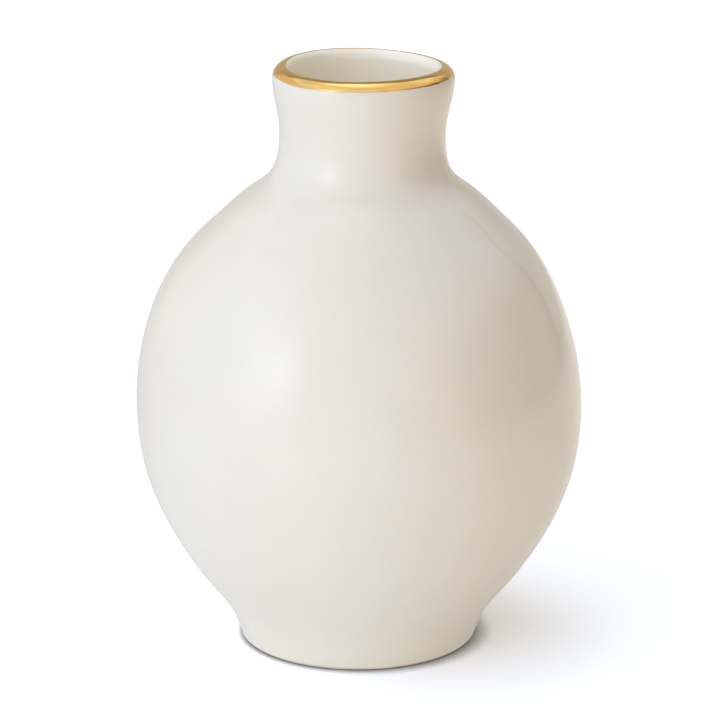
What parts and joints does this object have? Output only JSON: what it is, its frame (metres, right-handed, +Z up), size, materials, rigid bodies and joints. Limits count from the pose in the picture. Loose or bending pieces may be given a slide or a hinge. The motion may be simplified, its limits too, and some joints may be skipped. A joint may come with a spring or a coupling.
{
  "type": "porcelain vase",
  "caption": "Round-bellied glazed porcelain vase with a short flared neck, a gold band on the lip and a small bare foot.",
  "frame": {"origin": "centre of the foot, on the surface that the vase stands on", "axes": "+Z up through the neck and mouth; -Y is the front and +X is to the right of someone facing it, the way that the neck leans by a millimetre"},
  "size_m": [0.1349, 0.135, 0.1784],
  "materials": {
    "glazed_porcelain": "gloss",
    "fired_gold": "polished",
    "bare_porcelain": "matte"
  },
  "bodies": {
    "root": {"vase_body": "glazed_porcelain", "gilt_rim": "fired_gold", "foot_ring": "bare_porcelain"}
  },
  "joints": []
}
